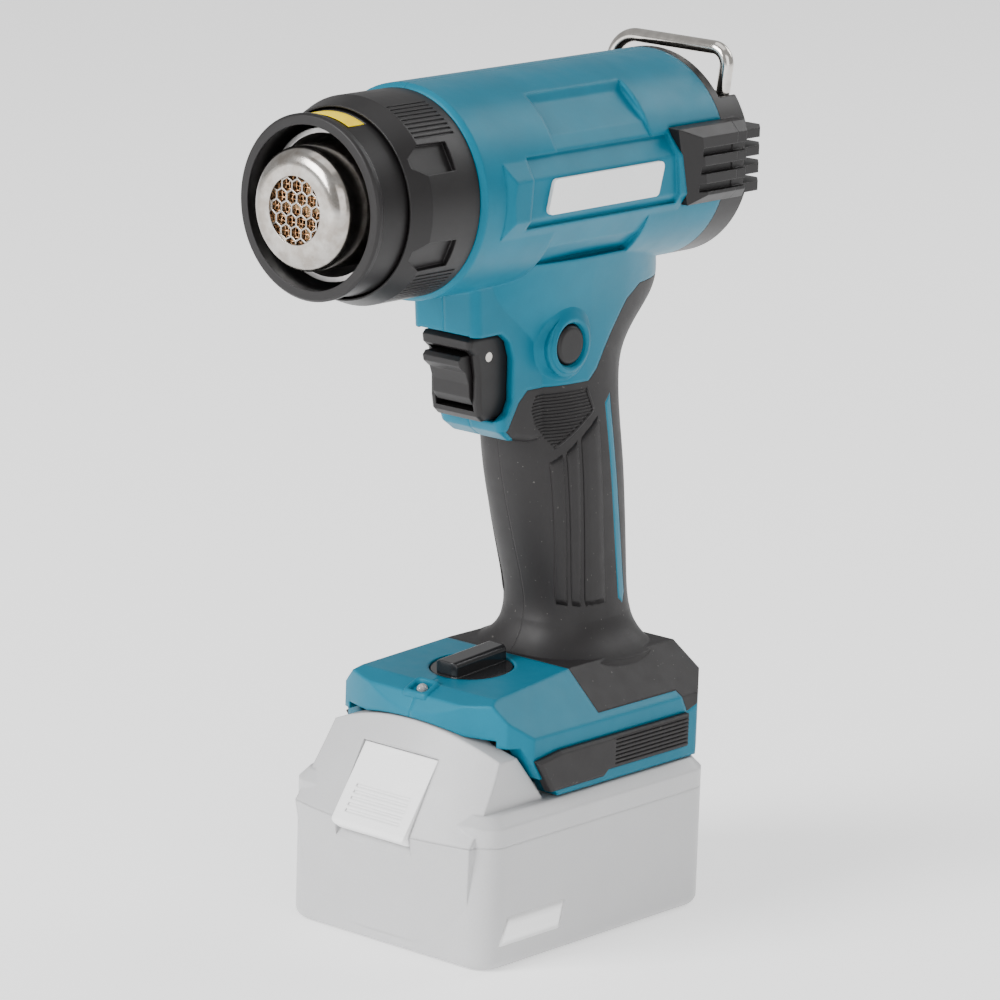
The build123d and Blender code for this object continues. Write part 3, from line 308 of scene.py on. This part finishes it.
dress(teal, "housing_left", "housing_right")
dress(rubber, "grip_left", "grip_right", "bumper_left", "bumper_right", "heel_bumper")
dress(black, "vent_insert_left", "vent_insert_right", "rear_cover", "guard_cup", "lock_ring", "trigger",
      "lock_off_lever", "lock_on_button", "heater_duct", "motor_mount", "fan_shroud", "switch_unit",
      "terminal_block", "fan_impeller", "cell_holder")
dress(gloss, "temp_dial")
dress(white_print, "badge_left", "badge_right")
dress(pale_case, "battery_case_upper", "battery_case_lower")
dress(latch_white, "battery_latch")
dress(chrome, "hanging_hook", "trigger_pin")
dress(outlet_steel, "nozzle", "nozzle_grille")
dress(plain_steel, "heat_shield", "intake_screen", "nozzle_flange", "dial_potentiometer")
dress(spring_steel, "trigger_spring", "lock_on_spring")
dress(motor_steel, "motor", "motor_shaft")
dress(screw_steel, "housing_screws")
dress(mica, "insulation_sleeve", "heater_core")
dress(coil_metal, "heating_coil")
dress(copper, "temperature_sensor", "terminal_blades", "battery_contacts")
dress(board_green, "control_board", "battery_board")
dress(cell_wrap, "battery_cells")
dress(wire_red, "handle_wires")
dress(yellow_label(), "caution_patch")
dress(clear_lens(), "led_lens")


# ------------------------------------------------------------------ tools for new pieces
def tree_of(*names):
    """Search tree over the triangles of some CAD nodes."""
    verts, faces = [], []
    for name in names:
        mesh = nodes[name].data
        start = len(verts)
        verts += [v.co.copy() for v in mesh.vertices]
        faces += [[start + i for i in polygon.vertices] for polygon in mesh.polygons]
    return BVHTree.FromPolygons(verts, faces)


# A distance along X from the middle plane that is clear of the whole tool.
OUTSIDE = 100 * MM


def side_point(tree, side, y, z, rise=0.0):
    """Point that stands rise over the surface seen from one side, at y and z, with its outward normal."""
    place, normal, _, _ = tree.ray_cast(Vector((side * OUTSIDE, y, z)), Vector((-side, 0, 0)))
    if normal.x * side < 0:
        normal = -normal
    return place + normal * rise, normal


def new_piece(name, bm, body, paint):
    """Turns a finished bmesh into a smooth-shaded piece that rides on a CAD body."""
    mesh = bpy.data.meshes.new(name)
    bmesh.ops.recalc_face_normals(bm, faces=bm.faces)
    bm.to_mesh(mesh)
    bm.free()
    for polygon in mesh.polygons:
        polygon.use_smooth = True
    piece = bpy.data.objects.new(name, mesh)
    bpy.context.scene.collection.objects.link(piece)
    mesh.materials.append(paint.mat)
    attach(piece, body)
    return piece


def join_rings(bm, rings, caps=True):
    """Skins a row of equally long rings of vertices, and closes its two ends if caps is true."""
    for one, two in zip(rings, rings[1:]):
        for i in range(len(one)):
            j = (i + 1) % len(one)
            bm.faces.new((one[i], one[j], two[j], two[i]))
    if caps:
        bm.faces.new(list(reversed(rings[0])))
        bm.faces.new(rings[-1])


# Shares of a rib's height: at its two ends, and at its shoulders, which lie at a share of its half width.
RIB_END, RIB_SHOULDER, SHOULDER_OUT = 0.2, 0.6, 0.72
RIB_SINK = 0.15 * MM


def add_rib(bm, points, normals, half_width, height):
    """Low rounded bead that follows a line of surface points, lower at its ends."""
    rings = []
    for i, (point, normal) in enumerate(zip(points, normals)):
        along = points[min(i + 1, len(points) - 1)] - points[max(i - 1, 0)]
        across = along.cross(normal).normalized()
        at_end = i in (0, len(points) - 1)
        rise = height * (RIB_END if at_end else 1.0)
        shoulder = RIB_SHOULDER * rise
        profile = ((-1.0, -RIB_SINK), (-SHOULDER_OUT, shoulder), (0.0, rise), (SHOULDER_OUT, shoulder),
                   (1.0, -RIB_SINK))
        rings.append([bm.verts.new(point + across * half_width * a + normal * h) for a, h in profile])
    join_rings(bm, rings)


BAND_STEPS = 24
# Share of a band's height at the inner end of its two soft margins.
BAND_SHOULDER = 0.85


def add_band(bm, tree, side, line_a, line_b, height, margin, sink=0.12 * MM):
    """Raised flat band over the surface between two (y, z) lines. margin is each soft edge's share of it."""
    rings = []
    for i in range(BAND_STEPS + 1):
        t = i / BAND_STEPS
        start = Vector(line_a[0]).lerp(Vector(line_a[1]), t)
        stop = Vector(line_b[0]).lerp(Vector(line_b[1]), t)
        lift = height if 0 < i < BAND_STEPS else 0.0
        shoulder = BAND_SHOULDER * lift
        over = ((0, -sink), (margin, shoulder), (0.35, lift), (0.65, lift), (1 - margin, shoulder),
                (1, -sink))
        under = ((0.85, -sink), (0.5, -sink), (0.15, -sink))
        ring = []
        for share, rise in over + under:
            y, z = start.lerp(stop, share)
            ring.append(bm.verts.new(side_point(tree, side, y, z, rise)[0]))
        rings.append(ring)
    join_rings(bm, rings)


# A direction that no tube runs along, so that it always gives a tube's first cross axis.
ASKEW = Vector((0.31, 0.27, 0.91))


def add_tube(bm, points, radius, sides=10):
    """Round tube along a list of points."""
    rings = []
    for i, point in enumerate(points):
        along = (points[min(i + 1, len(points) - 1)] - points[max(i - 1, 0)]).normalized()
        side_axis = along.cross(ASKEW).normalized()
        up_axis = along.cross(side_axis)
        ring = []
        for k in range(sides):
            angle = 2 * math.pi * k / sides
            outward = side_axis * math.cos(angle) + up_axis * math.sin(angle)
            ring.append(bm.verts.new(point + radius * outward))
        rings.append(ring)
    join_rings(bm, rings)


# ------------------------------------------------------------------ details of the grip
# Corners of the ribbed patch as (y, z) metres, above the flutes on the handle's side.
PATCH = [(-0.0065, 0.1524), (0.0116, 0.1520), (0.0147, 0.1455), (0.0003, 0.1362), (-0.0068, 0.1439),
         (-0.0085, 0.1482)]
PATCH_TOP, PATCH_FOOT = PATCH[0][1], PATCH[3][1]
RIB_PITCH = 0.95 * MM
# The first and last rib stay this far inside the patch, and each rib stops short of the ridge.
RIB_MARGIN, RIDGE_GAP = 0.8 * MM, 0.5 * MM


def patch_reach(z):
    """Where a level line at height z enters and leaves the ribbed patch."""
    crossings = []
    for (y1, z1), (y2, z2) in zip(PATCH, PATCH[1:] + PATCH[:1]):
        if (z1 - z) * (z2 - z) < 0:
            crossings.append(y1 + (y2 - y1) * (z - z1) / (z2 - z1))
    return min(crossings), max(crossings)


LINE_SPACING = 1.0 * MM


def surface_line(tree, side, start, stop):
    """Points and normals along a straight (y, z) line over the side surface."""
    start, stop = Vector(start), Vector(stop)
    count = max(3, round((stop - start).length / LINE_SPACING))
    found = [side_point(tree, side, *start.lerp(stop, i / count)) for i in range(count + 1)]
    return [place for place, _ in found], [normal for _, normal in found]


def add_grip_ribs(label, side):
    """Fine level ribs of the pointed patch, with the raised ridge that bounds it behind."""
    tree = tree_of("grip_" + label)
    bm = bmesh.new()
    z = PATCH_TOP - RIB_MARGIN
    while z > PATCH_FOOT + RIB_MARGIN:
        front, rear = patch_reach(z)
        points, normals = surface_line(tree, side, (front, z), (rear - RIDGE_GAP, z))
        add_rib(bm, points, normals, half_width=0.30 * MM, height=0.38 * MM)
        z -= RIB_PITCH
    for start, stop in ((PATCH[1], PATCH[2]), (PATCH[2], PATCH[3])):
        points, normals = surface_line(tree, side, start, stop)
        add_rib(bm, points, normals, half_width=0.55 * MM, height=0.50 * MM)
    new_piece("grip_ribs_" + label, bm, "gun", rubber)


# Lines between the flutes: (y, z) at the top and at the bottom, from front to rear.
FLUTE_LINES = [((-0.0012, 0.1320), (0.0072, 0.0895)), ((0.0036, 0.1345), (0.0106, 0.0890)),
               ((0.0088, 0.1380), (0.0140, 0.0885)), ((0.0176, 0.1440), (0.0230, 0.0885))]
HALF_LINE = Vector((0.35 * MM, 0))
FLUTE_HEIGHT = 0.26 * MM


def add_grip_flutes(label, side):
    """Long soft flutes down the handle's side, with narrow lines between them."""
    tree = tree_of("grip_" + label)
    bm = bmesh.new()
    for front, rear in zip(FLUTE_LINES, FLUTE_LINES[1:]):
        line_a = [Vector(end) + HALF_LINE for end in front]
        line_b = [Vector(end) - HALF_LINE for end in rear]
        add_band(bm, tree, side, line_a, line_b, FLUTE_HEIGHT, margin=0.08)
    new_piece("grip_flutes_" + label, bm, "gun", rubber)


# ------------------------------------------------------------------ crater round the lock-on button
button_low, button_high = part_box("lock_on_button")
BUTTON_Y = (button_low.y + button_high.y) / 2
BUTTON_Z = (button_low.z + button_high.z) / 2
BUTTON_R = (button_high.z - button_low.z) / 2

CRATER_FOOT_R = BUTTON_R + 5.6 * MM
CRATER_CREST_R = BUTTON_R + 1.6 * MM
CRATER_CREST_X = button_high.x + 0.25 * MM
# The crater's foot starts this far under the housing's surface.
CRATER_SINK = 0.25 * MM
CRATER_SIDES = 72
SLOPE_STEPS = 8
# Radius and depth below the crest of the rings that turn over the crest and go down beside the button.
CRATER_THROAT = ((CRATER_CREST_R - 0.5 * MM, -0.05 * MM), (BUTTON_R + 0.7 * MM, 0.3 * MM),
                 (BUTTON_R + 0.42 * MM, 1.0 * MM), (BUTTON_R + 0.40 * MM, 4.0 * MM))


def round_button(radius):
    """(y, z) points of a circle about the button's axis."""
    angles = [2 * math.pi * i / CRATER_SIDES for i in range(CRATER_SIDES)]
    return [(BUTTON_Y + radius * math.cos(a), BUTTON_Z + radius * math.sin(a)) for a in angles]


def add_button_crater():
    """Smooth conical rim that rises out of the neck round the lock-on button."""
    tree = tree_of("housing_left")
    feet = [side_point(tree, 1, y, z)[0].x - CRATER_SINK for y, z in round_button(CRATER_FOOT_R)]
    bm = bmesh.new()
    rings = []
    for k in range(SLOPE_STEPS + 1):
        t = k / SLOPE_STEPS
        # Level at the foot and steeper towards the crest.
        climb = t * t * (2.2 - 1.2 * t)
        radius = CRATER_FOOT_R + (CRATER_CREST_R - CRATER_FOOT_R) * t
        ring = []
        for foot_x, (y, z) in zip(feet, round_button(radius)):
            x = foot_x + (CRATER_CREST_X - foot_x) * climb
            ring.append(bm.verts.new((x, y, z)))
        rings.append(ring)
    for radius, depth in CRATER_THROAT:
        rings.append([bm.verts.new((CRATER_CREST_X - depth, y, z)) for y, z in round_button(radius)])
    join_rings(bm, rings, caps=False)
    new_piece("button_crater", bm, "gun", teal)


# ------------------------------------------------------------------ heater winding and handle wires
WINDING_TURNS, WINDING_STEPS = 11, 24
WINDING_WIRE_R = 0.55 * MM
# The wire's centre line stays this far inside the rings that it replaces, across and along.
WINDING_INSET, WINDING_END = 0.75 * MM, 0.6 * MM


def add_heater_winding():
    """One continuous wound wire in place of the row of rings."""
    low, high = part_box("heating_coil")
    radius = (high.x - low.x) / 2 - WINDING_INSET
    length = high.y - low.y - 2 * WINDING_END
    count = WINDING_TURNS * WINDING_STEPS
    points = []
    for i in range(count + 1):
        angle = 2 * math.pi * i / WINDING_STEPS
        y = low.y + WINDING_END + length * i / count
        points.append(Vector((radius * math.cos(angle), y, AXIS_Z + radius * math.sin(angle))))
    bm = bmesh.new()
    add_tube(bm, points, WINDING_WIRE_R, sides=8)
    winding = new_piece("heater_winding", bm, "gun", coil_metal)
    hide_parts("heating_coil")


SCREEN_R = 10.5 * MM
SCREEN_PITCH = 1.25 * MM
SCREEN_WIRE_R = 0.17 * MM
SCREEN_HALF_STEPS = 16


def add_outlet_screen():
    """Fine woven wire screen against the back of the honeycomb grille."""
    screen_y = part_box("nozzle_grille")[1].y + 2 * SCREEN_WIRE_R
    count = int(SCREEN_R / SCREEN_PITCH)
    bm = bmesh.new()
    for upright in (False, True):
        for i in range(-count, count + 1):
            offset = i * SCREEN_PITCH
            half = math.sqrt(SCREEN_R ** 2 - offset ** 2)
            points = []
            for k in range(2 * SCREEN_HALF_STEPS + 1):
                along = half * (k / SCREEN_HALF_STEPS - 1)
                over_under = math.cos(math.pi * along / SCREEN_PITCH + math.pi * (i + upright))
                x, z = (offset, along) if upright else (along, offset)
                points.append(Vector((x, screen_y + SCREEN_WIRE_R * over_under, AXIS_Z + z)))
            add_tube(bm, points, SCREEN_WIRE_R, sides=6)
    new_piece("outlet_screen", bm, "gun", copper)


SPRING_TURNS, SPRING_STEPS = 5, 20


def add_spring(name, node, axis, seat, radius, wire):
    """Coil spring in place of a plain tube.

    axis is 0 for X and 1 for Y, and seat is 0 for the spring's low end and 1 for its high end.
    """
    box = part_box(node)
    low, high = box
    centre = (low + high) / 2
    length = high[axis] - low[axis]
    first, second = [i for i in range(3) if i != axis]
    anchor = centre.copy()
    anchor[axis] = box[seat][axis]
    count = SPRING_TURNS * SPRING_STEPS
    points = []
    for i in range(count + 1):
        angle = 2 * math.pi * i / SPRING_STEPS
        point = Vector((0, 0, 0))
        point[axis] = low[axis] + wire + (length - 2 * wire) * i / count
        point[first] = centre[first] + radius * math.cos(angle)
        point[second] = centre[second] + radius * math.sin(angle)
        points.append(point)
    bm = bmesh.new()
    add_tube(bm, points, wire, sides=8)
    spring = new_piece(name, bm, "gun", spring_steel)
    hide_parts(node)
    direction = Vector((0, 0, 0))
    direction[axis] = 1
    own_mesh(spring)


LOOM_WIRE_R = 1.1 * MM
LOOM_SPACING = 4 * MM
LOOM_STEPS = 32
# From the foot up, the wires start at LOOM_Y, bow back by LOOM_BOW and end LOOM_LEAN further forward.
LOOM_END, LOOM_Y, LOOM_BOW, LOOM_LEAN = 0.6 * MM, 20 * MM, 4 * MM, 8 * MM
# Each wire wanders a little sideways, out of step with the next one.
WANDER, WANDER_TURN, WANDER_SHIFT = 0.5 * MM, 9, 300


def add_wire_loom():
    """Flexible wires that bow through the handle in place of the straight rods."""
    low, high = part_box("handle_wires")
    length = high.z - low.z - 2 * LOOM_END
    bm = bmesh.new()
    for x in (-LOOM_SPACING, 0, LOOM_SPACING):
        points = []
        for i in range(LOOM_STEPS + 1):
            t = i / LOOM_STEPS
            y = LOOM_Y + LOOM_BOW * math.sin(math.pi * t) - LOOM_LEAN * t ** 2
            sideways = WANDER * math.sin(WANDER_TURN * t + WANDER_SHIFT * x)
            points.append(Vector((x + sideways, y, low.z + LOOM_END + length * t)))
        add_tube(bm, points, LOOM_WIRE_R)
    loom = new_piece("wire_loom", bm, "gun", wire_red)
    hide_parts("handle_wires")


# ------------------------------------------------------------------ raised seat round the lamp
# Straight out of the sloping front of the foot.
LAMP_UP = Vector((0, -0.383, 0.924))
LENS_R = 1.6 * MM
# The slope's surface lies this far above the lens's centre.
LAMP_RISE = 0.46 * MM
SEAT_CORNER_R = 1.3 * MM
CORNER_STEPS = 6
# Half width, half length and rise of the seat's rings, from its outer foot over its rim to the lens.
SEAT_RINGS = ((4.7, 4.0, -0.6), (4.3, 3.6, 0.5), (4.0, 3.3, 0.85), (3.5, 2.8, 0.9), (3.1, 2.5, 0.7),
              (2.7, 2.2, -0.9))


def rounded_corners(half_x, half_y, radius):
    """Outline points of a rounded rectangle about the origin, in order."""
    points = []
    for quarter, (cx, cy) in enumerate(((1, 1), (-1, 1), (-1, -1), (1, -1))):
        for i in range(CORNER_STEPS + 1):
            angle = math.pi / 2 * (quarter + i / CORNER_STEPS)
            points.append((cx * (half_x - radius) + radius * math.cos(angle),
                           cy * (half_y - radius) + radius * math.sin(angle)))
    return points


def add_lamp_seat():
    """Rounded frame that stands round the lamp on the sloping front of the foot."""
    low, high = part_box("led_lens")
    middle = Vector((0, low.y + LENS_R, high.z - LENS_R)) + LAMP_UP * LAMP_RISE
    across = Vector((1, 0, 0))
    along = LAMP_UP.cross(across)
    bm = bmesh.new()
    rings = []
    for half_x, half_y, rise in SEAT_RINGS:
        ring = []
        for x, y in rounded_corners(half_x * MM, half_y * MM, SEAT_CORNER_R):
            ring.append(bm.verts.new(middle + across * x + along * y + LAMP_UP * rise * MM))
        rings.append(ring)
    join_rings(bm, rings, caps=False)
    new_piece("lamp_seat", bm, "gun", teal)


# ------------------------------------------------------------------ plain bands on the battery
# (y, z) ends of the parallelogram's upper and lower edges.
WHITE_BAND_TOP = [(-0.0415, 0.0150), (-0.0171, 0.0150)]
WHITE_BAND_FOOT = [(-0.0449, 0.0069), (-0.0191, 0.0069)]
WHITE_BAND_HEIGHT, WHITE_BAND_SINK = 0.10 * MM, 0.05 * MM


def add_battery_band(label, side):
    """Plain white parallelogram low on the side of the battery."""
    tree = tree_of("battery_case_lower")
    bm = bmesh.new()
    add_band(bm, tree, side, WHITE_BAND_TOP, WHITE_BAND_FOOT, WHITE_BAND_HEIGHT, margin=0.03,
             sink=WHITE_BAND_SINK)
    new_piece("battery_band_" + label, bm, "pack", latch_white)


for label, side in (("left", 1), ("right", -1)):
    add_grip_ribs(label, side)
    add_grip_flutes(label, side)
    add_battery_band(label, side)
add_button_crater()
add_heater_winding()
add_outlet_screen()
add_wire_loom()
add_lamp_seat()
add_spring("trigger_coil", "trigger_spring", axis=1, seat=1, radius=3.8 * MM, wire=0.55 * MM)
add_spring("lock_on_coil", "lock_on_spring", axis=0, seat=0, radius=3.45 * MM, wire=0.45 * MM)


FLAT_ANGLE = math.radians(1.0)
SHARP_ANGLE = math.radians(28)
ROUNDING_STEPS = 3


def round_edges(width, *names):
    """Real small radii on the sharp edges of moulded CAD nodes, after their flat facets are merged."""
    for name in names:
        merge = nodes[name].modifiers.new("merge_flats", "DECIMATE")
        merge.decimate_type = "DISSOLVE"
        merge.angle_limit = FLAT_ANGLE
        bevel = nodes[name].modifiers.new("edge_radius", "BEVEL")
        bevel.width = width
        bevel.segments = ROUNDING_STEPS
        bevel.limit_method = "ANGLE"
        bevel.angle_limit = SHARP_ANGLE
        bevel.use_clamp_overlap = True
        bevel.harden_normals = False


round_edges(0.7 * MM, "housing_left", "housing_right")
round_edges(1.6 * MM, "lock_off_lever", "trigger")
round_edges(0.9 * MM, "battery_case_upper", "battery_case_lower", "battery_latch")
round_edges(0.5 * MM, "lock_ring", "rear_cover", "vent_insert_left", "vent_insert_right")


# ------------------------------------------------------------------ floor, light and camera
FLOOR_SIZE = 60
FLOOR_GAP = 0.2 * MM
FLOOR_GLOW = 0.62
FLOOR_PATCH_SIZE = 0.4
FLOOR_DARK, FLOOR_LIGHT = (0.925, 0.925, 0.925), (0.935, 0.935, 0.935)


def add_floor():
    """Plain pale floor just under the battery. It glows a little, as paper on a light table does."""
    bpy.ops.mesh.primitive_plane_add(size=FLOOR_SIZE, location=(0, 0, cad_low.z - FLOOR_GAP))
    floor = bpy.context.object
    floor.name = "floor"
    p = Paint("floor_paint", (0.93, 0.93, 0.93), 0.75)
    p.colour(p.ramp(p.noise(FLOOR_PATCH_SIZE, detail=2.0), 0.3, 0.7, FLOOR_DARK, FLOOR_LIGHT))
    p.shader.inputs["Emission Color"].default_value = (1, 1, 1, 1)
    p.shader.inputs["Emission Strength"].default_value = FLOOR_GLOW
    floor.data.materials.append(p.mat)


WORLD_LEVEL = 0.56
LIGHT_TARGET = Vector((0, 0, 0.12))
# Name, place, width in metres and power in watts of each square soft box.
LIGHTS = (("key", (-0.6, -1.8, 1.1), 1.1, 62), ("fill", (1.8, -0.9, 0.8), 1.5, 15),
          ("rim", (0.4, 1.7, 1.2), 1.0, 14), ("top", (0, 0, 2.0), 1.6, 10))


def add_light(name, place, size, watts):
    """Square soft box that faces the middle of the tool."""
    lamp = bpy.data.lights.new(name, "AREA")
    lamp.energy = watts
    lamp.size = size
    holder = bpy.data.objects.new(name, lamp)
    bpy.context.scene.collection.objects.link(holder)
    holder.location = place
    holder.rotation_mode = "QUATERNION"
    holder.rotation_quaternion = (LIGHT_TARGET - Vector(place)).to_track_quat("-Z", "Y")


def add_world():
    """Even white studio surround."""
    world = bpy.data.worlds.new("studio")
    bpy.context.scene.world = world
    world.use_nodes = True
    background = world.node_tree.nodes["Background"]
    background.inputs["Color"].default_value = (1, 1, 1, 1)
    background.inputs["Strength"].default_value = WORLD_LEVEL


CAMERA_AZIMUTH = math.radians(40.608)
CAMERA_ELEVATION = math.radians(13.577)
CAMERA_ROLL = math.radians(1.921)
CAMERA_DISTANCE = 1.48726
CAMERA_TARGET = Vector((-0.005754, 0, 0.118075))
CAMERA_LENS, CAMERA_SENSOR = 190.98, 36
CAMERA_NEAR, CAMERA_FAR = 0.05, 50


def add_camera():
    """Camera at the angle from which the tool is seen, about 41 degrees to its left."""
    level = math.cos(CAMERA_ELEVATION)
    back = Vector((math.sin(CAMERA_AZIMUTH) * level, -math.cos(CAMERA_AZIMUTH) * level,
                   math.sin(CAMERA_ELEVATION)))
    data = bpy.data.cameras.new("camera")
    data.sensor_width = CAMERA_SENSOR
    data.lens = CAMERA_LENS
    data.clip_start = CAMERA_NEAR
    data.clip_end = CAMERA_FAR
    camera = bpy.data.objects.new("camera", data)
    bpy.context.scene.collection.objects.link(camera)
    camera.rotation_mode = "QUATERNION"
    turn = Matrix.Rotation(CAMERA_ROLL, 4, back)
    camera.rotation_quaternion = turn.to_quaternion() @ (-back).to_track_quat("-Z", "Y")
    camera.location = CAMERA_TARGET + back * CAMERA_DISTANCE
    bpy.context.scene.camera = camera


add_floor()
add_world()
for light in LIGHTS:
    add_light(*light)
add_camera()
